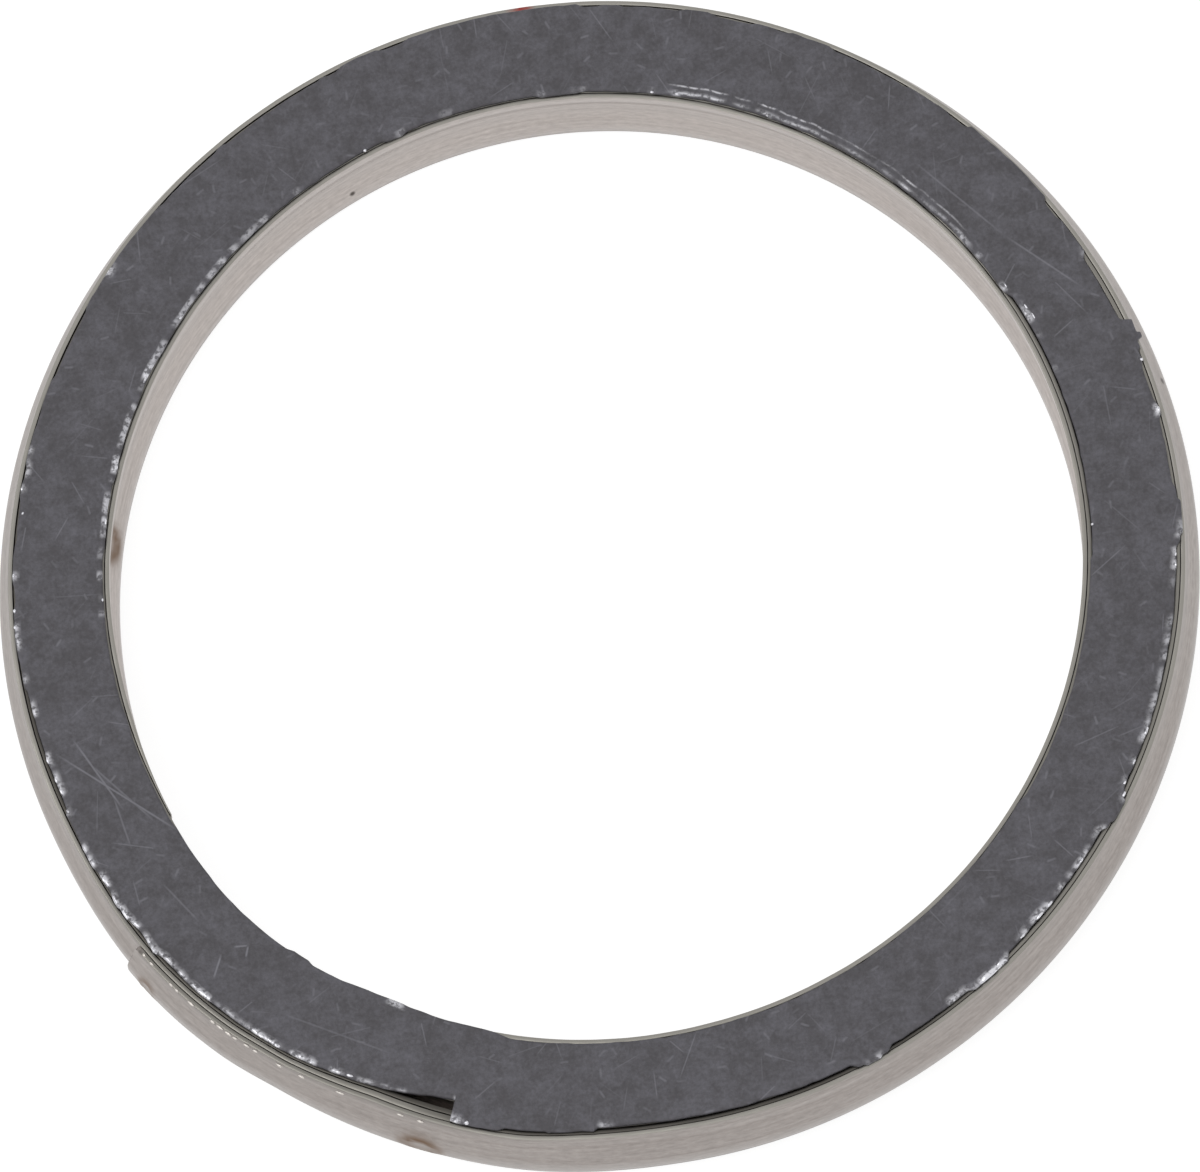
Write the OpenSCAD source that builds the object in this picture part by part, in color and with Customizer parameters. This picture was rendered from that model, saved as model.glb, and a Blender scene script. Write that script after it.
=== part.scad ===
// Spiral-wound exhaust gasket: one thin stainless strip wound with a graphite tape between its turns.
// The strip is rolled with a shallow crest at mid height, so the turns nest. The first and last turns are
// steel on steel and spot-welded. The tape is wider than the strip, and is pressed over the strip's edges
// into one flat graphite face on each side.

/* [Ring] */
// Inside diameter at the strip's edges
bore_d = 36; // [24:0.5:60]

/* [Steel strip] */
// Width of the strip, which is its height in the ring
strip_h = 3.6; // [3:0.1:6]
// Thickness of the strip
strip_t = 0.18; // [0.12:0.01:0.26]
// Gap between two turns that lie steel on steel
lap_gap = 0.02; // [0.01:0.01:0.05]
// How far the rolled crest stands out from the edges
crest = 0.37; // [0.1:0.01:0.6]
// Height of the straight part at each edge of the strip
edge_land = 0.5; // [0.2:0.05:0.8]
// Height of the straight part at the crest
crest_land = 0.7; // [0.3:0.05:1.2]
// Number of plain steel turns at the bore
turns_in = 3; // [2:1:4]
// Number of plain steel turns at the outside
turns_out = 3; // [2:1:4]
// Angle past the seam at which the strip starts, inside
strip_start = 19; // [17:0.5:40]
// Angle past the middle of the seam at which the strip ends, outside
strip_end = 11; // [6:0.5:15]
// Radius of the trimmed corners at the strip's outer end
corner_r = 0.7; // [0.2:0.1:1.2]

/* [Graphite filler] */
// Thickness of the graphite tape between two turns
tape_t = 0.4; // [0.2:0.01:0.6]
// Number of turns of the tape
tape_turns = 5; // [3:1:8]
// How far each graphite face stands above the strip's edges
face_h = 0.2; // [0.1:0.05:0.4]
// Clearance between the graphite and the steel
seat_gap = 0.01; // [0.005:0.005:0.02]
// Angle past the seam at which the tape starts
tape_start = 20; // [17:0.5:40]
// Angle before the middle of the seam at which the tape ends, beside an open pocket
tape_end = 24; // [18:0.5:30]
// Angle before the middle of the seam at which that pocket closes
pocket_end = 15.5; // [8:0.5:17]
// Angle over which the graphite face covers the bore's edge, on each side of the seam
bore_cover = 24; // [18:1:40]
// Middle of the stretch where the graphite face has drawn back from the outer turns
bare_mid = 200; // [60:5:300]
// Half length of that stretch
bare_half = 7; // [2:1:15]

/* [Spot welds] */
// Length of a weld mark
weld_d = 1.4; // [0.8:0.1:2]
// Depth of a weld mark
weld_dent = 0.05; // [0.02:0.01:0.08]
// Diameter of the weld inside, between the turns
nugget_d = 0.9; // [0.4:0.1:1.2]
// Angle before the middle of the seam of the second outer weld
weld_far = 22; // [18:1:60]
// Angle from the middle of the seam to the inner weld
weld_in = 55; // [25:5:180]

/* [Hidden] */
$fn = 96;

// The seam is the sector where every turn climbs over the one below it. Half its angle has a cosine
// of 24/25 and a sine of 7/25, so every joint of the arcs falls on a round number.
seam_c = 0.96;
seam_s = 0.28;
seam_half = atan2(seam_s, seam_c);
// Direction of the middle of the seam in the finished ring
seam_turn = 180 + atan2(0.6, 0.8);

bore_r = bore_d / 2;
total_h = strip_h + 2 * face_h;
mid_z = total_h / 2;
lap_pitch = strip_t + lap_gap;
tape_pitch = strip_t + tape_t + 2 * seat_gap;
first_tape = turns_in - 1;
last_tape = first_tape + tape_turns - 1;
last_turn = first_tape + tape_turns + turns_out - 1;

// Inner radius of turn k of the strip, at its edges
function turn_r(k) = bore_r
    + min(k, first_tape) * lap_pitch
    + max(0, min(k - first_tape, tape_turns)) * tape_pitch
    + max(0, k - first_tape - tape_turns) * lap_pitch;
function tape_r(k) = turn_r(k) + strip_t + seat_gap;
function climbs_over_tape(k) = k >= first_tape && k <= last_tape;

rim_r = turn_r(last_turn) + strip_t;
far = 2 * bore_d;
bend_lap = lap_pitch / (2 * (1 - seam_c));
bend_tape = tape_pitch / (2 * (1 - seam_c));

// Half section of the ring: a wall of the given thickness that follows the rolled strip. The wall may
// run on past the strip's edges by the given reach.
module wall(r, t, reach = 0) {
    slope_end = (strip_h - crest_land) / 2;
    z = [-reach, edge_land, slope_end, strip_h - slope_end, strip_h - edge_land, strip_h + reach];
    out = [0, 0, crest, crest, 0, 0];
    inner = [for (i = [0:5]) [r + out[i], face_h + z[i]]];
    outer = [for (i = [5:-1:0]) [r + t + out[i], face_h + z[i]]];
    polygon(concat(inner, outer));
}

// Three-cornered sector with its point at apex, reaching past the rim
module sector(apex, a, b) {
    translate([0, 0, -1])
        linear_extrude(total_h + 2)
            polygon([apex, a, b]);
}

// Sector between two angles that are less than 180 degrees apart
module fan(a, b) {
    sector([0, 0], far * [cos(a), sin(a)], far * [cos(b), sin(b)]);
}

module seam_sector() {
    sector([0, 0], far * [seam_c, -seam_s], far * [seam_c, seam_s]);
}

// Full turns about the ring's own axis, left open at the seam
module level_turns(radii, t, reach = 0) {
    difference() {
        rotate_extrude()
            for (r = radii) wall(r, t, reach);
        seam_sector();
    }
}

// First half of the climb: an arc flatter than the ring, tangent to the turn that it leaves
module climb_out(radii, t, bend, reach = 0) {
    c = bend * [-seam_c, seam_s];
    intersection() {
        translate([c[0], c[1], 0])
            rotate_extrude()
                for (r = radii) wall(r + bend, t, reach);
        sector(c, far * [seam_c, -seam_s], [far * seam_c, c[1]]);
    }
}

// Second half of the climb: a tighter arc, tangent to the next turn, one pitch further out
module climb_in(radii, t, bend, reach = 0) {
    c = bend * [seam_c, seam_s];
    intersection() {
        translate([c[0], c[1], 0])
            rotate_extrude()
                for (r = radii) wall(r - bend, t, reach);
        sector(c, [far * seam_c, c[1]], far * [seam_c, seam_s]);
    }
}

// Turns the finished winding so that its radius grows clockwise and the seam lies at the lower left
module place() {
    rotate([0, 0, seam_turn])
        mirror([0, 1, 0])
            children();
}

// Direction along the radius at an angle
module at_angle(a) {
    rotate([0, 0, a])
        children();
}

// Cuts the strip off square at its outer end, with both corners trimmed round
module end_cut() {
    at_angle(strip_end)
        translate([turn_r(last_turn) + strip_t + lap_gap / 2 - crest, 0, face_h])
            union() {
                translate([0, 0, -1]) cube([2 * crest + 1, far / 4, strip_h + 2]);
                for (top = [0, 1])
                    translate([0, 0, top * strip_h])
                        mirror([0, 0, top])
                            difference() {
                                translate([0, -corner_r, -corner_r])
                                    cube([2 * crest + 1, 2 * corner_r, 2 * corner_r]);
                                translate([-1, -corner_r, corner_r])
                                    rotate([0, 90, 0]) cylinder(r = corner_r, h = 2 * crest + 3);
                            }
            }
}

// Spot weld between two turns: the nugget that joins them
module nugget(a, r) {
    at_angle(a)
        translate([r + crest + strip_t / 2, 0, mid_z])
            rotate([0, 90, 0]) cylinder(d = nugget_d, h = lap_pitch);
}

// Shallow dent left by the welding electrode on the flat of the crest, at a wall of the given radius
module weld_mark(a, r, side) {
    bow = (weld_d * weld_d / 4 + weld_dent * weld_dent) / (2 * weld_dent);
    at_angle(a)
        translate([r + side * (bow - weld_dent), 0, mid_z])
            cylinder(r = bow, h = crest_land, center = true);
}

module steel_strip() {
    turns = [for (k = [0:last_turn]) turn_r(k)];
    laps = [for (k = [0:last_turn - 1]) if (!climbs_over_tape(k)) k];
    taped = [for (k = [0:last_turn]) if (climbs_over_tape(k)) k];
    rim_end = turn_r(last_turn) + lap_pitch;
    color("silver")
        place()
            difference() {
                union() {
                    difference() {
                        level_turns([turn_r(0)], strip_t);
                        fan(seam_half - 1, strip_start);
                    }
                    level_turns([for (k = [1:last_turn]) turn_r(k)], strip_t);
                    climb_out([for (k = laps) turn_r(k)], strip_t, bend_lap);
                    climb_in([for (k = laps) turn_r(k + 1)], strip_t, bend_lap);
                    climb_out([for (k = taped) turn_r(k)], strip_t, bend_tape);
                    climb_in([for (k = taped) turn_r(k + 1)], strip_t, bend_tape);
                    difference() {
                        union() {
                            climb_out([turn_r(last_turn)], strip_t, bend_lap);
                            climb_in([rim_end], strip_t, bend_lap);
                        }
                        end_cut();
                    }
                    nugget(strip_end - 2, turn_r(last_turn));
                    nugget(-weld_far, turn_r(last_turn - 1));
                    nugget(weld_in, turn_r(0));
                }
                weld_mark(strip_end - 2, rim_end + strip_t + crest, 1);
                weld_mark(-weld_far, rim_r + crest, 1);
                weld_mark(weld_in, bore_r + crest, -1);
            }
}

// Plan of the bore through a graphite face. Away from the seam it leaves the plain turns' edges bare.
module face_bore() {
    circle(r = bore_r + seat_gap);
    difference() {
        circle(r = turn_r(first_tape));
        plan_fan(-bore_cover, bore_cover);
    }
}

// The same sector as fan(), in plan
module plan_fan(a, b) {
    polygon([[0, 0], far * [cos(a), sin(a)], far * [cos(b), sin(b)]]);
}

// Plan of a graphite face. It covers every turn but the outermost, and at the seam every turn but two.
module face_plan() {
    edge = turn_r(last_turn) - seat_gap;
    inner_edge = turn_r(last_turn - 1) - seat_gap;
    pocket_r = turn_r(last_tape) + strip_t / 2;
    c = bend_lap * seam_c;
    d = bend_lap * seam_s;
    difference() {
        union() {
            difference() {
                circle(r = edge);
                polygon([[0, 0], far * [seam_c, -seam_s], far * [seam_c, seam_s]]);
            }
            intersection() {
                translate([-c, d]) circle(r = inner_edge + bend_lap);
                polygon([[-c, d], far * [seam_c, -seam_s], [far * seam_c, d]]);
            }
            intersection() {
                translate([c, d]) circle(r = edge - bend_lap);
                polygon([[c, d], [far * seam_c, d], far * [seam_c, seam_s]]);
            }
        }
        face_bore();
        polygon([
            pocket_r * [cos(tape_end), -sin(tape_end)],
            far * [cos(tape_end), -sin(tape_end)],
            far * [cos(pocket_end), -sin(pocket_end)],
            (pocket_r + tape_t) * [cos(pocket_end), -sin(pocket_end)]
        ]);
        difference() {
            plan_fan(bare_mid - bare_half, bare_mid + bare_half);
            circle(r = inner_edge);
        }
    }
}

module graphite_filler() {
    tapes = [for (k = [first_tape + 1:last_tape - 1]) tape_r(k)];
    climbing = [for (k = [first_tape:last_tape - 1]) k];
    reach = (face_h + seat_gap) / 2;
    color("dimgray")
        place() {
            difference() {
                level_turns([tape_r(first_tape)], tape_t, reach);
                fan(seam_half - 1, tape_start);
            }
            level_turns(tapes, tape_t, reach);
            difference() {
                level_turns([tape_r(last_tape)], tape_t, reach);
                fan(-tape_end, -seam_half + 1);
            }
            climb_out([for (k = climbing) tape_r(k)], tape_t, bend_tape, reach);
            climb_in([for (k = climbing) tape_r(k + 1)], tape_t, bend_tape, reach);
            linear_extrude(face_h - seat_gap) face_plan();
            translate([0, 0, total_h - face_h + seat_gap])
                linear_extrude(face_h - seat_gap) face_plan();
        }
}

steel_strip();
graphite_filler();
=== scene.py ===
import math

import bpy
import numpy as np
from mathutils import Matrix, Vector


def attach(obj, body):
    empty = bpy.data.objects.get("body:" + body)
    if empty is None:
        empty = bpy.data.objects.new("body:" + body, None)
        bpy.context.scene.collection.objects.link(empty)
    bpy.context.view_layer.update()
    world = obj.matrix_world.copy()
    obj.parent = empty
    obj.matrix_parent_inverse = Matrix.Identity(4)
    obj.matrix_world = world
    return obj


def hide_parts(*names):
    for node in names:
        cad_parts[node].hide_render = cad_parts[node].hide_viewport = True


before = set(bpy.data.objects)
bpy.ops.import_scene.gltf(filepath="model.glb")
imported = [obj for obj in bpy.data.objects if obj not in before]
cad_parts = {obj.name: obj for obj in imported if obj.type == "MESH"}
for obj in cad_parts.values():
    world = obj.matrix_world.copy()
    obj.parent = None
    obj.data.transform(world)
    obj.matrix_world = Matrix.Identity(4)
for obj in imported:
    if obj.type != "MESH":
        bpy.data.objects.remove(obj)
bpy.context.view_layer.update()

# The steel strip
# One long stainless strip, cold-rolled, slit to width and rolled with a shallow crest along its middle. It is
# wound on edge in a stepped spiral. Its first and last turns lie steel on steel and are spot-welded.
MM = 0.001
BORE_R = 18.0
STRIP_H = 3.6
STRIP_T = 0.18
LAP_GAP = 0.02
TAPE_T = 0.4
SEAT_GAP = 0.01
CREST = 0.37
FACE_H = 0.2
FIRST_TAPE = 2
TAPE_TURNS = 5
LAST_TURN = 9
STRIP_START = 19
STRIP_END = 9.6
END_CORNER = 0.5
SLIT_ROUND = 0.02
SEAM_C = 0.96
SEAM_S = 0.28
SEAM_HALF = math.degrees(math.atan2(SEAM_S, SEAM_C))
SEAM_AT = 180 + math.degrees(math.atan2(0.6, 0.8))
LAP_PITCH = STRIP_T + LAP_GAP
TAPE_PITCH = STRIP_T + TAPE_T + 2 * SEAT_GAP
TOTAL_H = STRIP_H + 2 * FACE_H
RIM_R = 21.98
random = np.random.default_rng(12)


def linear(colour):
    """A hex sRGB colour as linear red, green, blue and alpha."""
    part = np.array([int(colour[i:i + 2], 16) for i in (1, 3, 5)]) / 255
    part = np.where(part <= 0.04045, part / 12.92, ((part + 0.055) / 1.055) ** 2.4)
    return (*part.tolist(), 1.0)


def smooth(edge0, edge1, value):
    """The S-curve 3t^2 - 2t^3 between two edges, flat at 0 before the first and at 1 after the second."""
    t = np.clip((value - edge0) / (edge1 - edge0), 0, 1)
    return t * t * (3 - 2 * t)


def ragged(angle, length, at_radius=20.0):
    """Random values from -1 to 1 round the ring: one knot each `length` mm, joined by S-curves."""
    knots = max(3, int(2 * math.pi * at_radius / length))
    value = random.uniform(-1, 1, knots)
    place = np.mod(angle, 360) / 360 * knots
    low = np.floor(place).astype(int)
    blend = smooth(0, 1, place - low)
    return value[low % knots] * (1 - blend) + value[(low + 1) % knots] * blend


def turn_radius(turn):
    """Inner radius of a level turn: the bore, then a lap pitch for each plain turn and a tape pitch for each other."""
    plain_in = np.clip(turn, 0, FIRST_TAPE)
    taped = np.clip(turn - FIRST_TAPE, 0, TAPE_TURNS)
    plain_out = np.maximum(turn - FIRST_TAPE - TAPE_TURNS, 0)
    return BORE_R + (plain_in + plain_out) * LAP_PITCH + taped * TAPE_PITCH


def wound_radius(wound):
    """Inner radius after winding through an angle. A level turn is a circle about the axis. In the seam the strip
    leaves it on an arc whose radius is larger by the bend, and joins the next on one smaller by the bend. The
    radius is where the ray at that angle meets the arc: r = c.u + sqrt(rho^2 - c.c + (c.u)^2)."""
    turn = np.round(wound / 360)
    angle = wound - 360 * turn
    ray_x, ray_y = np.cos(np.radians(angle)), np.sin(np.radians(angle))
    below, above = turn_radius(turn - 1), turn_radius(turn)
    bend = (above - below) / (2 * (1 - SEAM_C))

    def meet(side, rho):
        along = bend * (side * SEAM_C * ray_x + SEAM_S * ray_y)
        return along + np.sqrt(rho ** 2 - bend ** 2 + along ** 2)

    leaving, joining = meet(-1, below + bend), meet(1, above - bend)
    climb = np.where(leaving * ray_y < bend * SEAM_S, leaving, joining)
    return np.where(np.abs(angle) < SEAM_HALF, climb, turn_radius(np.floor(wound / 360)))


def crest_out(height):
    """How far the rolled wall stands out at a height above the strip's lower edge: S-curves up to a flat crest."""
    from_edge = np.minimum(height, STRIP_H - height)
    return CREST * smooth(0.3, 1.55, from_edge)


OVAL = 0.114
OVAL_AT = 66.5
CONE = 0.05
BULGE = 0.25
# How far the strip's upper edges lean out of true, in mm, read every few degrees round the bore and the rim
BORE_LEAN_AT = [0, 33, 78, 100, 125, 165, 180, 205, 235, 250, 270, 285, 305, 330, 360]
BORE_LEAN = [0.11, 0.17, 0.18, 0.205, 0.18, 0.18, 0.09, 0.10, 0.09, 0.08, 0, 0, 0.05, 0.09, 0.11]
RIM_LEAN_AT = [0, 20, 50, 72, 97, 142, 165, 207, 222, 226, 230, 235, 243, 250, 255, 262, 285, 315, 340, 360]
RIM_LEAN = [-0.10, -0.09, -0.035, 0, -0.015, -0.09, -0.05, -0.09, -0.09, -0.05, -0.14, -0.25, -0.18, -0.13, -0.22,
            -0.25, -0.20, -0.20, -0.09, -0.10]


def found_move(angle, outward, z):
    """How far along the radius the ring as found lies from the drawn one: out of round by a cosine of twice the
    angle, a little wider at its foot, bulged over the seam, and with its upper edges leaning. The bulge and the
    lean differ at the bore and at the rim, and run from one to the other in proportion to `outward`."""
    rise = smooth(192, 217, angle)
    at_bore = rise - smooth(222, 233, angle)
    at_rim = rise - 0.4 * smooth(219, 226, angle) - 0.6 * smooth(248, 266, angle)
    move = OVAL * np.cos(np.radians(2 * (angle - OVAL_AT))) + CONE * (1 - z / TOTAL_H)
    move = move + BULGE * (at_bore * (1 - outward) + at_rim * outward)
    lean = np.interp(angle, BORE_LEAN_AT, BORE_LEAN) * (1 - outward) + np.interp(angle, RIM_LEAN_AT, RIM_LEAN) * outward
    slack = smooth(226, 236, angle) * (1 - smooth(243, 246, angle)) * (1 - smooth(0.87, 0.95, outward))
    return move + (lean - 0.1 * slack * smooth(0.78, 0.85, outward)) * smooth(1.9, 3.7, z)


def as_found(points):
    """Points of the drawn ring moved along the radius to where they lie in the ring as it was found."""
    x, y, z = points[..., 0], points[..., 1], points[..., 2]
    radius = np.hypot(x, y)
    angle = np.mod(np.degrees(np.arctan2(y, x)), 360)
    outward = np.clip((radius - BORE_R) / (RIM_R - BORE_R), 0, 1)
    scale = 1 + found_move(angle, outward, z) / radius
    return points * np.stack([scale, scale, np.ones_like(scale)], -1)


def tube(name, points, extra=None, closed=False):
    """A mesh from an array of loops, each a closed section. Quads join each section to the next. The ends are
    capped, or joined to each other when closed. The faces are turned to give a positive volume."""
    loops, around = points.shape[:2]
    index = np.arange(loops * around).reshape(loops, around)
    if closed:
        index = np.vstack([index, index[:1]])
    near, far = index[:-1], index[1:]
    quads = np.stack([near, np.roll(near, -1, 1), np.roll(far, -1, 1), far], -1).reshape(-1, 4)
    flat = as_found(points).reshape(-1, 3)
    a, b, c, d = (flat[quads[:, i]] for i in range(4))
    volume = np.einsum("ij,ij->", a, np.cross(b, c)) + np.einsum("ij,ij->", a, np.cross(c, d))
    faces = quads.tolist()
    if not closed:
        faces += [index[0][::-1].tolist(), index[-1].tolist()]
    if volume < 0:
        faces = [face[::-1] for face in faces]
    mesh = bpy.data.meshes.new(name)
    mesh.from_pydata((flat * MM).tolist(), [], faces)
    mesh.shade_smooth()
    for key, value in (extra or {}).items():
        attribute = mesh.attributes.new(key, "FLOAT_VECTOR", "POINT")
        attribute.data.foreach_set("vector", np.ascontiguousarray(value, np.float32).ravel())
    piece = bpy.data.objects.new(name, mesh)
    bpy.context.scene.collection.objects.link(piece)
    return piece


def strip_section():
    """Half widths and heights round the strip's section: up the inner side, over the edge, down the outer side."""
    heights = np.array([SLIT_ROUND, 0.5, 0.8, 1.1, 1.3, 1.5, 1.65, 1.8, 1.95, 2.1, 2.3, 2.5, 2.8, 3.1])
    heights = np.append(heights, STRIP_H - SLIT_ROUND)
    low, high = 0.3 * SLIT_ROUND, STRIP_H - 0.3 * SLIT_ROUND
    upper_corner = [(low, high), (SLIT_ROUND, STRIP_H), (STRIP_T - SLIT_ROUND, STRIP_H), (STRIP_T - low, high)]
    lower_corner = [(STRIP_T - low, low), (STRIP_T - SLIT_ROUND, 0), (SLIT_ROUND, 0), (low, low)]
    inner = [(0, z) for z in heights]
    outer = [(STRIP_T, z) for z in heights[::-1]]
    return np.array(inner + upper_corner + outer + lower_corner)


section = strip_section()
wound_end = 360 * (LAST_TURN + 1) + STRIP_END
wound = np.concatenate([
    np.arange(STRIP_START, 375, 0.75),
    np.arange(375, 360 * LAST_TURN - 170, 3),
    np.arange(360 * LAST_TURN - 170, wound_end - 3, 0.75),
    np.arange(wound_end - 3, wound_end + 0.01, 0.1),
])
wound = np.minimum(wound, wound_end)
radius = wound_radius(wound)
# The trimmed corners at the outer end
to_end = np.radians(wound_end - wound) * 22
corner = np.clip(END_CORNER - to_end, 0, END_CORNER)
cut = END_CORNER - np.sqrt(np.maximum(END_CORNER ** 2 - corner ** 2, 0))
height = np.clip(section[None, :, 1], cut[:, None], STRIP_H - cut[:, None])
depth = np.broadcast_to(section[None, :, 0], height.shape)
run = np.cumsum(np.append(0, np.radians(np.diff(wound)) * radius[1:]))

# Each spot weld is a shallow crater with a raised lip, in a patch that the heat has tinted
# Columns: angle wound through, side of the strip, half length and half height of the patch, strength of the tint
WELDS = [(360 * 10 + 6.9, 1, 0.42, 0.55, 0.8), (360 * 10 - 23.4, 1, 0.72, 0.6, 1.0), (55.5, -1, 0.72, 1.1, 1.0)]
dent = np.zeros_like(height)
tint = np.zeros_like(height)
for weld_at, side, half_length, half_height, strength in WELDS:
    run_at = np.interp(weld_at, wound, run)
    on_side = smooth(0.04, 0.14, side * (depth - STRIP_T / 2) + STRIP_T / 2)
    away = np.hypot((run[:, None] - run_at) / half_length, (height - STRIP_H / 2) / half_height)
    dent += side * on_side * (-0.05 * np.exp(-(away / 0.55) ** 2) + 0.02 * np.exp(-((away - 0.9) / 0.25) ** 2))
    tint += strength * on_side * (np.exp(-((away - 0.85) / 0.3) ** 2) + 0.35 * np.exp(-(away / 1.2) ** 4))

# Painted shade on the upper edges of the turns beside the filler, darkest on the turns under it
turn = wound / 360
sunk_edge_shade = np.interp(turn, [0, 0.9, 1.1, 1.9, 2.1, 8.1, 8.45, 8.76, 8.8, 8.92, 8.94, 9.04, 9.07, 9.9, 9.93],
                 [0.1, 0.1, 0.45, 0.45, 0.9, 0.9, 0.3, 0.35, 0.9, 0.9, 0.35, 0.35, 0.05, 0.05, 0.35])
edge_shade_by_height = sunk_edge_shade[:, None] * smooth(STRIP_H - 0.12, STRIP_H - 0.04, height)
# A slit edge is never quite straight, and the turns under the filler lie a little lower
edge_wave = 0.012 * ragged(wound, 1.3) + 0.008 * ragged(wound, 0.45)
edge_wave -= 0.06 * smooth(0, 1, sunk_edge_shade)
on_top = smooth(STRIP_H - 0.5, STRIP_H, section[:, 1])
# The first end is ground thin on its bore side
thinned = 0.12 * (1 - smooth(STRIP_START, 33, wound))[:, None] * (1 - depth / STRIP_T)
section_r = depth + thinned + crest_out(height) + dent
strip_r = radius[:, None] + section_r
strip_z = FACE_H + height + edge_wave[:, None] * on_top[None, :]
turned_rad = np.radians(SEAM_AT - wound)[:, None]
strip_points = np.stack([strip_r * np.cos(turned_rad), strip_r * np.sin(turned_rad), strip_z], -1)
# A drop of red marking ink on the rim
INK_AT = 84.5
outermost = (wound > 360 * LAST_TURN - 180)[:, None]
from_ink = np.mod(SEAM_AT - wound - INK_AT + 180, 360) - 180
ink = np.where(outermost, np.exp(-(np.radians(from_ink)[:, None] * 22 / 0.34) ** 4), 0) * smooth(2.9, 3.3, height)
strip_mm = np.stack([np.broadcast_to(run[:, None], height.shape), height, depth], -1)
strip_marks_and_shade = np.stack([tint, edge_shade_by_height, ink], -1)
steel_strip = tube("stainless_strip", strip_points,
                   {"strip_mm": strip_mm.reshape(-1, 3), "strip_marks_and_shade": strip_marks_and_shade.reshape(-1, 3)})
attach(steel_strip, "root")
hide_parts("steel_strip")


def add(tree, kind, inputs=None, **settings):
    """Adds one node, gives it its settings, and fills each input with a value or a link."""
    node = tree.nodes.new(kind)
    for key, value in settings.items():
        setattr(node, key, value)
    for socket, value in (inputs or {}).items():
        if isinstance(value, bpy.types.NodeSocket):
            tree.links.new(value, node.inputs[socket])
        else:
            node.inputs[socket].default_value = value
    return node


def finish_material(name):
    """An empty material with its output, and the output's surface socket."""
    material = bpy.data.materials.new(name)
    material.use_nodes = True
    material.node_tree.nodes.clear()
    output = add(material.node_tree, "ShaderNodeOutputMaterial")
    return material, material.node_tree, output


# Cold-rolled stainless with a dull satin finish: rolling lines run along the strip, the slit edges are greyer,
# partly their own sheared finish and partly painted shade, and each spot weld leaves a ring tinted straw and
# brown by the heat. Painted shade also darkens the outer side and the upper edges beside the filler.
stainless, tree, output = finish_material("cold_rolled_stainless")
along = add(tree, "ShaderNodeAttribute", attribute_name="strip_mm").outputs["Vector"]
marks_and_shade = add(tree, "ShaderNodeAttribute", attribute_name="strip_marks_and_shade").outputs["Vector"]
marks_and_shade = add(tree, "ShaderNodeSeparateXYZ", {0: marks_and_shade})
parts = add(tree, "ShaderNodeSeparateXYZ", {0: along})
rolled = add(tree, "ShaderNodeMapping", {"Vector": along, "Scale": (0.12, 7.0, 1.0)}).outputs[0]
lines = add(tree, "ShaderNodeTexNoise", {"Vector": rolled, "Scale": 1.0, "Detail": 4.0, "Roughness": 0.6})
grain_at = add(tree, "ShaderNodeMapping", {"Vector": along, "Scale": (2.5, 9.0, 1.0)}).outputs[0]
grain = add(tree, "ShaderNodeTexNoise", {"Vector": grain_at, "Scale": 1.0, "Detail": 4.0, "Roughness": 0.7})
shade = add(tree, "ShaderNodeMix", {0: lines.outputs[0], 6: linear("#938B86"), 7: linear("#C9C2BE")}, data_type="RGBA")
grain_and_side_shade = add(tree, "ShaderNodeMapRange", {0: grain.outputs[0], 1: 0.3, 2: 0.7, 3: 0.86, 4: 1.14})
# Painted shade: the strip's outer side is darkened to 0.76 of its colour, and the grain is multiplied by it
outer_side_shade = add(tree, "ShaderNodeMapRange", {0: parts.outputs[2], 1: 0.05, 2: 0.13, 3: 1.0, 4: 0.76})
grain_and_side_shade = add(tree, "ShaderNodeMath", {0: grain_and_side_shade.outputs[0], 1: outer_side_shade.outputs[0]}, operation="MULTIPLY")
shade = add(tree, "ShaderNodeVectorMath", {0: shade.outputs[2], 3: grain_and_side_shade.outputs[0]}, operation="SCALE")
from_mid = add(tree, "ShaderNodeMath", {0: parts.outputs[1], 1: STRIP_H / 2}, operation="SUBTRACT")
from_mid = add(tree, "ShaderNodeMath", {0: from_mid.outputs[0]}, operation="ABSOLUTE")
# The slit edges take a greyer colour: partly their own sheared finish, partly painted shade for the duller light they
# reflect
slit = add(tree, "ShaderNodeMapRange", {0: from_mid.outputs[0], 1: 1.775, 2: 1.795, 3: 0.0, 4: 1.0})
colour = add(tree, "ShaderNodeMix", {0: slit.outputs[0], 6: shade.outputs[0], 7: linear("#A5A29B")}, data_type="RGBA")
# Painted shade on the upper edges of the turns beside the filler, from the second channel of the marks
colour = add(tree, "ShaderNodeMix", {0: marks_and_shade.outputs[1], 6: colour.outputs[2], 7: linear("#4A4743")}, data_type="RGBA")
tinted = add(tree, "ShaderNodeMath", {0: marks_and_shade.outputs[0], 1: 0.85}, operation="MULTIPLY", use_clamp=True)
colour = add(tree, "ShaderNodeMix", {0: tinted.outputs[0], 6: colour.outputs[2], 7: linear("#6E5A4A")}, data_type="RGBA")
colour = add(tree, "ShaderNodeMix", {0: marks_and_shade.outputs[2], 6: colour.outputs[2], 7: linear("#A04844")}, data_type="RGBA")
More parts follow.
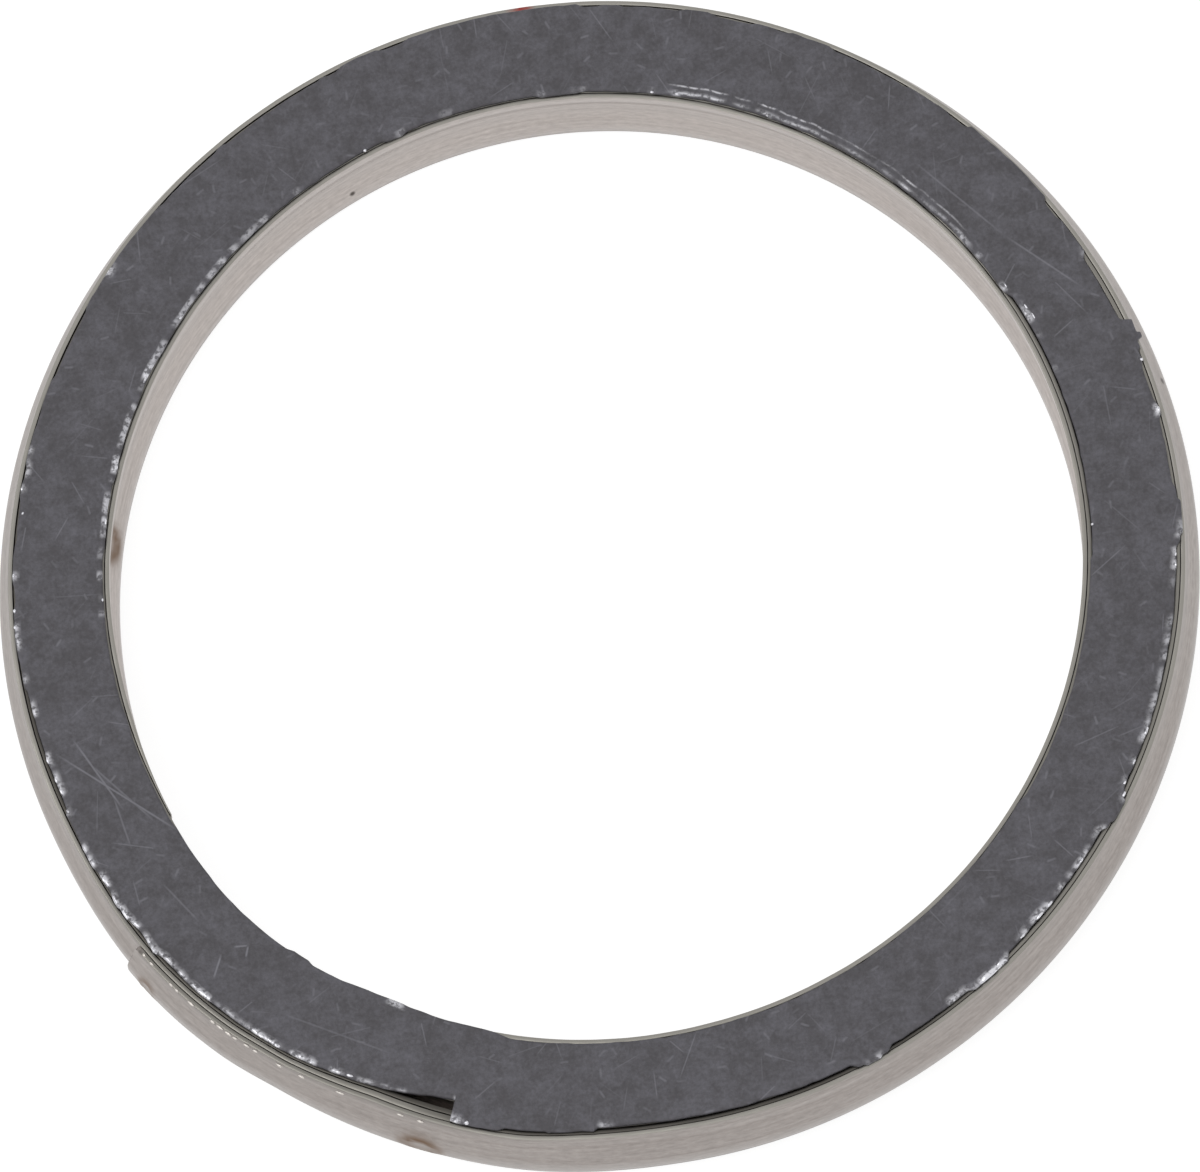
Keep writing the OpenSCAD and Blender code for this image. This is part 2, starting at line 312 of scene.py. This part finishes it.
# A dark speck on the rim's outer wall, and a dark spot in the bore painted as the shade of a pit. Columns: angle,
# radius, height above the table and size in mm
SPECKS = [(6.1, 22.17, 2.65, 0.17), (107.9, 18.15, 0.95, 0.15)]
place = add(tree, "ShaderNodeTexCoord").outputs["Object"]
spot = add(tree, "ShaderNodeVectorMath", {0: place, 3: 1000.0}, operation="SCALE").outputs[0]
for angle, at_radius, at_height, size in SPECKS:
    centre = (at_radius * math.cos(math.radians(angle)), at_radius * math.sin(math.radians(angle)), at_height)
    away = add(tree, "ShaderNodeVectorMath", {0: spot, 1: centre}, operation="DISTANCE").outputs["Value"]
    dark = add(tree, "ShaderNodeMapRange", {0: away, 1: size * 0.4, 2: size, 3: 0.9, 4: 0.0})
    colour = add(tree, "ShaderNodeMix", {0: dark.outputs[0], 6: colour.outputs[2], 7: linear("#3E3834")}, data_type="RGBA")
rough = add(tree, "ShaderNodeMapRange", {0: lines.outputs[0], 1: 0.3, 2: 0.7, 3: 0.30, 4: 0.42})
steel = add(tree, "ShaderNodeBsdfPrincipled", {
    "Base Color": colour.outputs[2], "Metallic": 1.0, "Roughness": rough.outputs[0]})
tree.links.new(steel.outputs[0], output.inputs[0])
steel_strip.data.materials.append(stainless)

# The graphite filler
# One tape of flexible graphite, wound between the steel turns and wider than they are. The press folds it over
# the strip's edges into one flat face on each side. It ends in the seam, where it leaves an open pocket.
TAPE_START = 20
TAPE_END = 26.1
LEVEL_OUT = 21.78


def tape_section():
    """Half widths and heights round the tape's section, which follows the rolled wall from face to face."""
    heights = np.array([-0.1, 0.4, 0.9, 1.5, 2.1, 2.7, 3.2, 3.7])
    inner = [(0, z) for z in heights]
    outer = [(TAPE_T, z) for z in heights[::-1]]
    return np.array(inner + outer)


section = tape_section()
wound = np.arange(360 * FIRST_TAPE + TAPE_START, 360 * (FIRST_TAPE + TAPE_TURNS) - TAPE_END + 0.01, 2)
tape_r = wound_radius(wound)[:, None] + STRIP_T + SEAT_GAP + section[None, :, 0] + crest_out(section[None, :, 1])
turned_rad = np.radians(SEAM_AT - wound)[:, None]
tape_z = np.broadcast_to(FACE_H + section[None, :, 1], tape_r.shape)
tape_points = np.stack([tape_r * np.cos(turned_rad), tape_r * np.sin(turned_rad), tape_z], -1)
no_shine = np.zeros((tape_points.shape[0] * tape_points.shape[1], 3))
graphite_tape = tube("graphite_tape", tape_points, {"shine": no_shine})


def stretches(angle, rows, soft=0.2):
    """The highest of several flat-topped bumps. A row is the angle where its bump starts and ends, and its height."""
    bumps = [rise * smooth(start - soft, start + soft, angle) * (1 - smooth(end - soft, end + soft, angle))
             for start, end, rise in rows]
    return np.max(bumps, axis=0)


# Where the upper face has drawn back from the last turn and shows a dark gap: start, end and width in mm
DRAWN_BACK = [(-1, 1.7, 0.09), (3.4, 7.4, 0.09), (12.4, 20.1, 0.20), (24.6, 26.8, 0.06), (37.9, 40.1, 0.06),
              (45, 53.2, 0.08), (58, 59.3, 0.05), (61.4, 65.4, 0.07), (68.8, 74.7, 0.07), (76.8, 78.7, 0.07),
              (96.4, 98.8, 0.07), (103.6, 104.8, 0.06), (105.6, 117, 0.08), (118, 125.8, 0.08), (138.8, 146.4, 0.07),
              (155.8, 157.4, 0.07), (159.4, 164, 0.06), (168.3, 170.6, 0.06), (176, 179, 0.06), (179, 192.5, 0.15),
              (192.5, 196, 0.05), (199, 203, 0.08), (248, 252.5, 0.13), (252.5, 257, 0.08), (257, 283.3, 0.18),
              (287.2, 297, 0.15), (302, 318, 0.20), (322.4, 348.4, 0.17), (354.5, 361, 0.10)]
# Where it has been pressed out over the last turn
PRESSED_OUT = [(9.0, 9.9, 0.12), (9.9, 10.7, 0.36), (10.5, 12.2, 0.24), (27.1, 37.6, 0.12), (53.6, 57.7, 0.03),
               (66, 68.5, 0.03), (79, 96, 0.03), (99.2, 103.3, 0.05), (126.5, 138, 0.02), (243, 246, 0.02),
               (284.3, 286.1, 0.10), (319, 321.6, 0.10), (349.5, 353, 0.12)]
# In the seam the graphite's outer edge wanders: the angle and the radius where it was found
SEAM_EDGE_AT = [203.5, 204.4, 206, 207.5, 209.1, 210, 212, 215, 217, 220, 225, 230, 235, 238, 240, 242.5]
SEAM_EDGE = [21.78, 21.83, 21.75, 21.75, 21.87, 21.78, 21.77, 21.81, 21.77, 21.76, 21.73, 21.61, 21.42, 21.29,
             21.15, 21.08]
# Where its inner edge stands back and bares the second turn, and where it bulges into the bore
BARED_IN = [(-1, 21, 0.18), (79, 84, -0.07), (100, 102.4, -0.09), (153.8, 156, -0.06), (165, 199.5, 0.05),
            (219.6, 222.4, -0.09), (317, 347, 0.09), (347, 361, 0.16)]
# Where its outer edge is burnished and crumbled to bright scales: start, end and strength
OUTER_SHINE = [(1.9, 2.9, 0.9), (7.5, 8.1, 0.9), (20.2, 20.8, 0.6), (133.2, 134.8, 0.6), (154, 157, 0.5),
               (158.1, 158.7, 0.9), (167.1, 167.7, 0.8), (170.7, 171.3, 0.9), (172.4, 175, 0.7), (177.6, 178.4, 0.5),
               (180.3, 182, 0.6), (186.2, 187.4, 0.9), (188.2, 190.7, 0.9), (191.8, 193, 0.8), (196.2, 198.8, 0.6),
               (199.6, 203.5, 0.8), (203.5, 207, 1.0), (207, 208.3, 0.6), (208.6, 209.6, 1.0), (209.6, 213, 0.5),
               (213, 216.5, 0.9), (217, 219.8, 0.5), (220, 225, 1.0), (225.2, 227.5, 0.7), (227.8, 228.6, 1.0),
               (230.3, 232.6, 0.8), (233, 238, 0.3), (243, 244.2, 0.8), (257.5, 258.7, 0.4), (284.5, 286.2, 0.6),
               (294.5, 297.8, 0.7), (298, 302, 1.0), (303.8, 305.3, 0.8), (306, 311, 0.8), (312, 315.2, 0.7),
               (315.2, 318.5, 0.4), (321.3, 323.6, 0.7), (325, 326, 0.7), (327.5, 330, 0.6), (330, 337.5, 0.4),
               (337.8, 341, 0.5), (343.7, 348, 0.5), (349, 351, 0.4)]
INNER_SHINE = [(9, 10.6, 0.5), (14.5, 15.5, 0.3), (16.7, 20.3, 0.8), (21.5, 22.5, 0.6), (25, 27, 0.5),
               (28, 31, 0.4), (56.6, 57.3, 0.6), (67.5, 68.2, 0.6), (70.4, 71, 0.6), (78.5, 80, 0.4),
               (83.2, 84.2, 0.5), (92.6, 95.5, 0.4), (100, 101.2, 0.5), (113.5, 115, 0.5), (118, 135, 0.5),
               (135, 141, 0.6), (141, 144.8, 0.9), (146.5, 154, 0.8), (154, 155.9, 0.9), (157.5, 160, 0.6),
               (160.5, 162, 0.9), (162, 165.5, 0.6), (166.8, 168, 0.5), (170, 172.3, 0.5), (232.3, 234.6, 0.6)]
# Where two crinkled ridges run just inside the bore's edge
INNER_RIDGES = [(30.5, 50, 0.5), (50, 68, 0.6)]


def face_edges(angle):
    """Inner and outer radius of the graphite face at an angle. Away from the seam it runs between the plain turns,
    and is smeared over the second. At the seam it covers the bore's edge, and its outer edge was read as found."""
    from_seam = np.mod(SEAM_AT - angle + 180, 360) - 180
    level_in = turn_radius(1) + 0.015
    wall = np.where(from_seam < STRIP_START, wound_radius(360 + from_seam), BORE_R)
    covered = smooth(-31, -28, from_seam) * (1 - smooth(14.5, 17.5, from_seam))
    inner = level_in + (wall + 0.01 - level_in) * covered
    found_edge = np.interp(angle, SEAM_EDGE_AT, SEAM_EDGE)
    read_edge = found_edge - found_move(angle, 0.91, TOTAL_H)
    read_edge = found_edge - found_move(angle, (read_edge - BORE_R) / (RIM_R - BORE_R), TOTAL_H)
    in_seam = (angle > SEAM_EDGE_AT[0]) & (angle < SEAM_AT + TAPE_END)
    return inner, np.where(in_seam, read_edge, LEVEL_OUT)


def pressed_face(name, angle, side):
    """A closed ring: at each angle a flat face between the two edges, rounded off at both, and a flat underside.
    Returns the piece and its two edges."""
    inner, outer = face_edges(angle)
    ridges = bright_in = bright_out = np.zeros_like(angle)
    if side > 0:
        bright_out = stretches(angle, OUTER_SHINE, 0.4) * np.clip(0.6 + 0.6 * ragged(angle, 0.3), 0, 1)
        bright_in = stretches(angle, INNER_SHINE, 0.4) * np.clip(0.35 + 0.6 * ragged(angle, 0.35), 0, 0.8)
        ridges = stretches(angle, INNER_RIDGES, 1.5) * np.clip(0.6 + 0.7 * ragged(angle, 0.5), 0, 1)
        seam_side = smooth(243, 243.4, angle) + (1 - smooth(201, 203.5, angle))
        outer = outer + seam_side * (stretches(angle, PRESSED_OUT) - stretches(angle, DRAWN_BACK, 0.45))
        inner = inner + stretches(angle, [row for row in BARED_IN if row[2] > 0], 0.8)
        inner = inner - stretches(angle, [(start, end, -rise) for start, end, rise in BARED_IN if rise < 0], 0.6)
    inner = inner + 0.02 * ragged(angle, 1.6) + 0.02 * ragged(angle, 0.5)
    outer = outer + 0.02 * ragged(angle, 1.1) + 0.018 * ragged(angle, 0.35) + 0.03 * bright_out
    low, high = TOTAL_H - FACE_H + 0.01, TOTAL_H
    # Columns: edge, step from it, height, share of the edge's shine, share of the ridges
    across = [(0, 0, low, 0.6, 0), (0, 0, 3.93, 1, 0), (0, 0.03, 3.985, 1, 0), (0, 0.08, high, 1, 0.6),
              (0, 0.12, high, 1, 1), (0, 0.18, high, 0.8, 0.3), (0, 0.26, high, 0, 0), (0, 0.35, high, 0, 0),
              (0, 0.40, high, 0, 1), (0, 0.46, high, 0, 0), (0, 0.9, high, 0, 0), (1, -0.9, high, 0, 0),
              (1, -0.3, high, 0, 0), (1, -0.2, high, 0.3, 0), (1, -0.08, high, 1, 0), (1, -0.03, 3.985, 1, 0),
              (1, 0, 3.93, 1, 0), (1, 0, low, 0.6, 0)]
    rings, level, shine = [], [], []
    wander = 0.035 * ragged(angle, 0.9) + 0.02 * ragged(angle, 0.4)
    for edge, step, z, shiny, ridge in across:
        bright = np.maximum(shiny * (bright_out if edge else bright_in), ridge * ridges)
        rings.append((outer if edge else inner) + step + wander * smooth(0.08, 0.3, abs(step)))
        level.append(z + (z > 3.9) * (0.03 * bright + 0.004 * ragged(angle, 0.8)))
        shine.append(bright)
    rings, z, shine = np.stack(rings, 1), np.stack(level, 1), np.stack(shine, 1)
    if side < 0:
        z = np.maximum(TOTAL_H - z, 0)
    turned_rad = np.radians(angle)[:, None]
    points = np.stack([rings * np.cos(turned_rad), rings * np.sin(turned_rad), z], -1)
    return tube(name, points, {"shine": np.repeat(shine.reshape(-1, 1), 3, 1)}, closed=True), inner, outer


step_angle = SEAM_AT + TAPE_END
fine = np.sort(np.append(np.arange(0, 360, 0.15), [step_angle - 0.005, step_angle + 0.005]))
coarse = np.sort(np.append(np.arange(0, 360, 0.5), [step_angle - 0.005, step_angle + 0.005]))
upper_face, edge_in, edge_out = pressed_face("graphite_face_upper", fine, 1)
lower_face, _, _ = pressed_face("graphite_face_lower", coarse, -1)


def scales(name, rows, level):
    """Small closed lumps that lie at a level. Each is a ball of 6 by 8 facets, jittered and stretched to its
    length along the rim, width and height. A row is angle, radius, length and width in mm."""
    row = np.array(rows)
    latitude = np.linspace(-math.pi / 2, math.pi / 2, 7)[1:-1]
    longitude = np.arange(8) * math.pi / 4
    ball = [(math.cos(u) * math.cos(v), math.cos(u) * math.sin(v), math.sin(u)) for u in latitude for v in longitude]
    ball = np.array([(0, 0, -1)] + ball + [(0, 0, 1)])
    last = len(ball) - 1
    facets = [(0, 1 + (i + 1) % 8, 1 + i) for i in range(8)]
    facets += [(last, last - 8 + i, last - 8 + (i + 1) % 8) for i in range(8)]
    facets += [(1 + 8 * j + i, 1 + 8 * j + (i + 1) % 8, 9 + 8 * j + (i + 1) % 8, 9 + 8 * j + i)
               for j in range(len(latitude) - 1) for i in range(8)]
    points = ball[None] * random.uniform(0.75, 1.15, (len(row), len(ball), 1))
    angle = np.radians(row[:, 0])[:, None]
    outward = row[:, 1, None] + points[..., 1] * row[:, 3, None] / 2
    sideways = points[..., 0] * row[:, 2, None] / 2
    z = level + points[..., 2] * np.minimum(row[:, 3, None] / 2, 0.06)
    x = outward * np.cos(angle) - sideways * np.sin(angle)
    y = outward * np.sin(angle) + sideways * np.cos(angle)
    flat = as_found(np.stack([x, y, z], -1)).reshape(-1, 3)
    mesh = bpy.data.meshes.new(name)
    mesh.from_pydata((flat * MM).tolist(), [], [tuple(v + len(ball) * i for v in f) for i in range(len(row)) for f in facets])
    mesh.shade_smooth()
    attribute = mesh.attributes.new("shine", "FLOAT_VECTOR", "POINT")
    attribute.data.foreach_set("vector", np.full(flat.size, 3.0, np.float32))
    piece = bpy.data.objects.new(name, mesh)
    bpy.context.scene.collection.objects.link(piece)
    return piece


# Columns: angle, distance in from the face's outer edge, length and width in mm
OUTER_SCALES = [
    (2.4, 0.04, 0.25, 0.12), (7.8, 0.02, 0.14, 0.13), (158.4, 0.05, 0.16, 0.13), (160.9, 0.16, 0.14, 0.11),
    (167.4, 0.05, 0.18, 0.12), (171.0, 0.04, 0.18, 0.14), (172.7, 0.03, 0.15, 0.12), (186.8, 0.02, 0.3, 0.12),
    (189.0, 0.03, 0.25, 0.12), (190.3, 0.05, 0.28, 0.12), (192.4, 0.05, 0.2, 0.12), (198.3, 0.1, 0.18, 0.11),
    (200.3, 0.05, 0.3, 0.12), (204.4, 0.04, 0.5, 0.14), (209.1, 0.05, 0.3, 0.13), (222.7, 0.05, 0.35, 0.15),
    (223.6, 0.07, 0.3, 0.15), (224.5, 0.06, 0.3, 0.15), (228.2, 0.05, 0.25, 0.13), (231.0, 0.06, 0.25, 0.12),
    (232.2, 0.08, 0.3, 0.12), (243.5, 0.04, 0.16, 0.12), (244.6, 0.06, 0.2, 0.15), (299.3, 0.08, 0.95, 0.28),
    (300.8, 0.12, 0.35, 0.15), (304.4, 0.02, 0.3, 0.12), (307.2, 0.02, 0.6, 0.12), (308.6, 0.03, 0.3, 0.13),
    (314.0, 0.03, 0.3, 0.1), (322.0, 0.03, 0.25, 0.12), (323.1, 0.03, 0.2, 0.12), (325.4, 0.03, 0.25, 0.11),
    (328.8, 0.02, 0.4, 0.13), (346.3, 0.03, 0.2, 0.1), (347.3, 0.03, 0.16, 0.1)]
# Columns: angle, distance out from the face's inner edge, length and width in mm
INNER_SCALES = [
    (105.05, -0.01, 0.14, 0.14), (143.2, 0.06, 0.3, 0.1), (161.0, 0.03, 0.3, 0.1), (57.0, 0.06, 0.12, 0.11),
    (17.2, 0.28, 0.3, 0.08), (18.6, 0.22, 0.25, 0.09), (22.0, 0.2, 0.2, 0.09), (67.8, 0.06, 0.14, 0.1),
    (70.7, 0.03, 0.14, 0.1), (134.7, 0.06, 0.14, 0.09), (170.5, 0.04, 0.14, 0.09), (351.1, 0.04, 0.13, 0.12)]
placed = [(at, np.interp(at, fine, edge_out) - step, length, width) for at, step, length, width in OUTER_SCALES]
placed += [(at, np.interp(at, fine, edge_in) + step, length, width) for at, step, length, width in INNER_SCALES]
bright_scales = scales("graphite_scales", placed, TOTAL_H - 0.01)
graphite_pieces = (graphite_tape, upper_face, lower_face, bright_scales)
for piece in graphite_pieces:
    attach(piece, "root")
    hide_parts("graphite_filler")

# The tail's burrs
# The slitting has left bright beads of burr along the upper outer corner of the strip's last turn
BURRS = [(208.6, 0.2), (209.7, 0.25), (212.5, 0.25), (213.3, 0.25), (215.2, 0.4), (217.9, 0.25), (218.8, 0.35),
         (219.8, 0.35), (220.6, 0.25), (221.9, 0.3), (222.9, 0.25), (225.6, 0.3), (228.0, 0.3), (232.0, 0.4),
         (238.2, 0.3), (240.2, 0.3)]
BURR_R = 22.08
burrs = scales("tail_burrs", [(at, BURR_R, length, 0.1) for at, length in BURRS], FACE_H + STRIP_H - 0.01)
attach(burrs, "root")
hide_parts("steel_strip")
# Freshly sheared stainless, brighter than the rolled skin
sheared, tree, output = finish_material("sheared_stainless")
bare = add(tree, "ShaderNodeBsdfPrincipled", {"Base Color": linear("#DCD6D0"), "Metallic": 1.0, "Roughness": 0.4})
tree.links.new(bare.outputs[0], output.inputs[0])
burrs.data.materials.append(sheared)


def scratches(tree, spot, cell, length, width, shift):
    """A mask of straight scratches, one through the middle of each random cell. The cell's random colour gives its
    direction, and the mask is where the distance across the line and along it are both small."""
    moved = add(tree, "ShaderNodeVectorMath", {0: spot, 1: (shift, shift, 0)})
    cells = add(tree, "ShaderNodeTexVoronoi", {"Vector": moved.outputs[0], "Scale": 1 / cell}, voronoi_dimensions="2D")
    middle = add(tree, "ShaderNodeVectorMath", {0: moved.outputs[0], 1: cells.outputs["Position"]}, operation="SUBTRACT")
    chance = add(tree, "ShaderNodeSeparateXYZ", {0: cells.outputs["Color"]})
    turned = add(tree, "ShaderNodeMath", {0: chance.outputs[0], 1: math.pi}, operation="MULTIPLY")
    some = add(tree, "ShaderNodeMapRange", {0: chance.outputs[1], 1: 0.5, 2: 1.0, 3: 0.0, 4: 1.0})
    line = line_mask(tree, middle.outputs[0], turned.outputs[0], length, width)
    return add(tree, "ShaderNodeMath", {0: line, 1: some.outputs[0]}, operation="MULTIPLY").outputs[0]


def line_mask(tree, from_middle, turned, length, width):
    """1 on a straight line of a given length and width, at an angle about its middle, and 0 away from it."""
    local = add(tree, "ShaderNodeVectorRotate", {"Vector": from_middle, "Angle": turned}, rotation_type="Z_AXIS")
    local = add(tree, "ShaderNodeSeparateXYZ", {0: local.outputs[0]})
    far_across = add(tree, "ShaderNodeMath", {0: local.outputs[1]}, operation="ABSOLUTE")
    far_along = add(tree, "ShaderNodeMath", {0: local.outputs[0]}, operation="ABSOLUTE")
    across = add(tree, "ShaderNodeMapRange", {0: far_across.outputs[0], 1: width * 0.3, 2: width, 3: 1.0, 4: 0.0})
    along = add(tree, "ShaderNodeMapRange", {0: far_along.outputs[0], 1: length * 0.3, 2: length / 2, 3: 1.0, 4: 0.0})
    return add(tree, "ShaderNodeMath", {0: across.outputs[0], 1: along.outputs[0]}, operation="MULTIPLY").outputs[0]


def long_scratch(tree, spot, start_angle, start_r, end_angle, end_r, strength):
    """A mask of one scratch between two places on the face, each an angle and a radius."""
    start = start_r * np.array([math.cos(math.radians(start_angle)), math.sin(math.radians(start_angle))])
    end = end_r * np.array([math.cos(math.radians(end_angle)), math.sin(math.radians(end_angle))])
    middle, span = (start + end) / 2, end - start
    moved = add(tree, "ShaderNodeVectorMath", {0: spot, 1: (*middle.tolist(), 0.0)}, operation="SUBTRACT")
    line = line_mask(tree, moved.outputs[0], -math.atan2(span[1], span[0]), math.hypot(*span), 0.05)
    return add(tree, "ShaderNodeMath", {0: line, 1: strength}, operation="MULTIPLY").outputs[0]


# Columns: angle and radius of one end, angle and radius of the other, strength
LONG_SCRATCHES = [(186.3, 21.2, 200.7, 18.3, 0.45), (185.4, 20.4, 195.1, 19.7, 0.45), (188.2, 20.2, 198.0, 18.9, 0.3),
                  (192.8, 19.8, 199.2, 20.2, 0.3), (204.0, 20.0, 210.0, 19.9, 0.25), (215.3, 21.1, 214.1, 20.2, 0.5),
                  (214.5, 19.7, 215.6, 19.3, 0.5), (215.6, 19.3, 216.3, 19.7, 0.5), (223.0, 20.6, 236.0, 20.1, 0.2),
                  (17.2, 20.9, 26.7, 19.7, 0.35), (26.7, 19.7, 39.7, 19.5, 0.3)]


# Pressed flexible graphite: dull dark grey, cloudy where the pressing has burnished it, with fine bright
# scratches from handling and bright metallic scales where its edge has crumbled.
graphite, tree, output = finish_material("pressed_graphite")
place = add(tree, "ShaderNodeTexCoord").outputs["Object"]
spot = add(tree, "ShaderNodeVectorMath", {0: place, 3: 1000.0}, operation="SCALE").outputs[0]
polished = add(tree, "ShaderNodeAttribute", attribute_name="shine").outputs["Fac"]
flake = add(tree, "ShaderNodeTexNoise", {"Vector": spot, "Scale": 5.0, "Detail": 3.0, "Roughness": 0.6})
flake = add(tree, "ShaderNodeMapRange", {0: flake.outputs[0], 1: 0.40, 2: 0.54, 3: 0.15, 4: 1.4})
shine = add(tree, "ShaderNodeMath", {0: polished, 1: flake.outputs[0]}, operation="MULTIPLY", use_clamp=True).outputs[0]
cloud = add(tree, "ShaderNodeTexNoise", {"Vector": spot, "Scale": 1.1, "Detail": 8.0, "Roughness": 0.8})
mottle = add(tree, "ShaderNodeTexNoise", {"Vector": spot, "Scale": 6.5, "Detail": 2.0})
speck = add(tree, "ShaderNodeTexNoise", {"Vector": spot, "Scale": 9.0, "Detail": 2.0})
mix = add(tree, "ShaderNodeMapRange", {0: cloud.outputs[0], 1: 0.42, 2: 0.72, 3: 0.0, 4: 1.0})
colour = add(tree, "ShaderNodeMix", {0: mix.outputs[0], 6: linear("#48464A"), 7: linear("#616067")}, data_type="RGBA")
spread = add(tree, "ShaderNodeMapRange", {0: mottle.outputs[0], 1: 0.3, 2: 0.7, 3: 0.86, 4: 1.14})
colour = add(tree, "ShaderNodeVectorMath", {0: colour.outputs[2], 3: spread.outputs[0]}, operation="SCALE")
lines = [scratches(tree, spot, cell, length, width, shift)
         for cell, length, width, shift in ((1.3, 1.1, 0.035, 3.0), (2.1, 2.0, 0.035, 17.0), (0.8, 0.4, 0.06, 31.0))]
both = add(tree, "ShaderNodeMath", {0: lines[0], 1: lines[1]}, operation="MAXIMUM")
marked = add(tree, "ShaderNodeMath", {0: both.outputs[0], 1: lines[2]}, operation="MAXIMUM")
marked = add(tree, "ShaderNodeMath", {0: marked.outputs[0], 1: 0.3}, operation="MULTIPLY")
for row in LONG_SCRATCHES:
    marked = add(tree, "ShaderNodeMath", {0: marked.outputs[0], 1: long_scratch(tree, spot, *row)}, operation="MAXIMUM")
colour = add(tree, "ShaderNodeMix", {0: marked.outputs[0], 6: colour.outputs[0], 7: linear("#8C8C94")}, data_type="RGBA")
colour = add(tree, "ShaderNodeMix", {0: shine, 6: colour.outputs[2], 7: linear("#F0F0F6")}, data_type="RGBA")
metal = add(tree, "ShaderNodeMapRange", {0: shine, 1: 0.1, 2: 0.7, 3: 0.0, 4: 0.9})
rough = add(tree, "ShaderNodeMapRange", {0: shine, 1: 0.0, 2: 0.8, 3: 0.58, 4: 0.28})
bump = add(tree, "ShaderNodeBump", {"Height": speck.outputs[0], "Strength": 0.25, "Distance": 0.00002})
black = add(tree, "ShaderNodeBsdfPrincipled", {
    "Base Color": colour.outputs[2], "Metallic": metal.outputs[0], "Roughness": rough.outputs[0],
    "Normal": bump.outputs[0]})
tree.links.new(black.outputs[0], output.inputs[0])
for piece in graphite_pieces:
    piece.data.materials.append(graphite)

# The floor and the light
# A plain white table under soft studio light from all round, with one large soft box overhead.
bpy.ops.mesh.primitive_plane_add(size=4)
floor = bpy.context.object
floor.name = "floor"
white, tree, output = finish_material("white_table")
matt = add(tree, "ShaderNodeBsdfDiffuse", {"Color": (0.8, 0.8, 0.8, 1.0)})
shown = add(tree, "ShaderNodeBsdfDiffuse", {"Color": (0.35, 0.35, 0.35, 1.0)})
lit = add(tree, "ShaderNodeEmission", {"Color": (1.0, 1.0, 1.0, 1.0), "Strength": 0.82})
backdrop = add(tree, "ShaderNodeAddShader", {0: shown.outputs[0], 1: lit.outputs[0]})
ray = add(tree, "ShaderNodeLightPath")
either = add(tree, "ShaderNodeMath", {0: ray.outputs["Is Camera Ray"], 1: ray.outputs["Is Glossy Ray"]},
             operation="MAXIMUM")
either = add(tree, "ShaderNodeMath", {0: either.outputs[0], 1: ray.outputs["Is Transmission Ray"]},
             operation="MAXIMUM")
table = add(tree, "ShaderNodeMixShader", {0: either.outputs[0], 1: matt.outputs[0], 2: backdrop.outputs[0]})
tree.links.new(table.outputs[0], output.inputs[0])
floor.data.materials.append(white)

world = bpy.data.worlds.new("studio")
bpy.context.scene.world = world
world.use_nodes = True
world.node_tree.nodes["Background"].inputs[0].default_value = (1.0, 1.0, 1.0, 1.0)
world.node_tree.nodes["Background"].inputs[1].default_value = 0.75


def soft_box(name, place, size, power):
    """A square lamp of a given size and power that looks at the ring."""
    lamp = bpy.data.lights.new(name, "AREA")
    lamp.size = size
    lamp.energy = power
    box = bpy.data.objects.new(name, lamp)
    box.location = place
    box.rotation_euler = (-Vector(place)).to_track_quat("-Z", "Y").to_euler()
    bpy.context.scene.collection.objects.link(box)
    return box


soft_box("soft_box_left", (-0.35, -0.1, 0.65), 0.5, 1.3)

# The camera
# It looks down on the ring from about seventeen degrees off its axis, through a long lens.
CAMERA_TILT = math.radians(17.290)
CAMERA_ROLL = math.radians(-10.332)
CAMERA_TURN = math.radians(-2.968)
CAMERA_FAR = 659.4
PIXEL = 0.037177
LENS = 532.10
PICTURE_MIDDLE = (600, 586)
RING_MIDDLE = (601.36, 594.64)
level = Vector((math.cos(CAMERA_TURN), math.sin(CAMERA_TURN), 0))
back = Matrix.Rotation(CAMERA_TURN, 3, "Z") @ Vector((0, -math.sin(CAMERA_TILT), math.cos(CAMERA_TILT)))
rise = back.cross(level)
right = math.cos(CAMERA_ROLL) * level + math.sin(CAMERA_ROLL) * rise
up = -math.sin(CAMERA_ROLL) * level + math.cos(CAMERA_ROLL) * rise
look_at = Vector((0, 0, FACE_H)) - right * (RING_MIDDLE[0] - PICTURE_MIDDLE[0]) * PIXEL
look_at += up * (RING_MIDDLE[1] - PICTURE_MIDDLE[1]) * PIXEL
camera_data = bpy.data.cameras.new("camera")
camera_data.lens = LENS
camera_data.sensor_width = 36
camera_data.clip_end = 10
camera = bpy.data.objects.new("camera", camera_data)
camera.matrix_world = Matrix.Translation((look_at + back * CAMERA_FAR) * MM) @ Matrix((right, up, back)).transposed().to_4x4()
bpy.context.scene.collection.objects.link(camera)
bpy.context.scene.camera = camera
bpy.context.scene.view_settings.view_transform = "Standard"
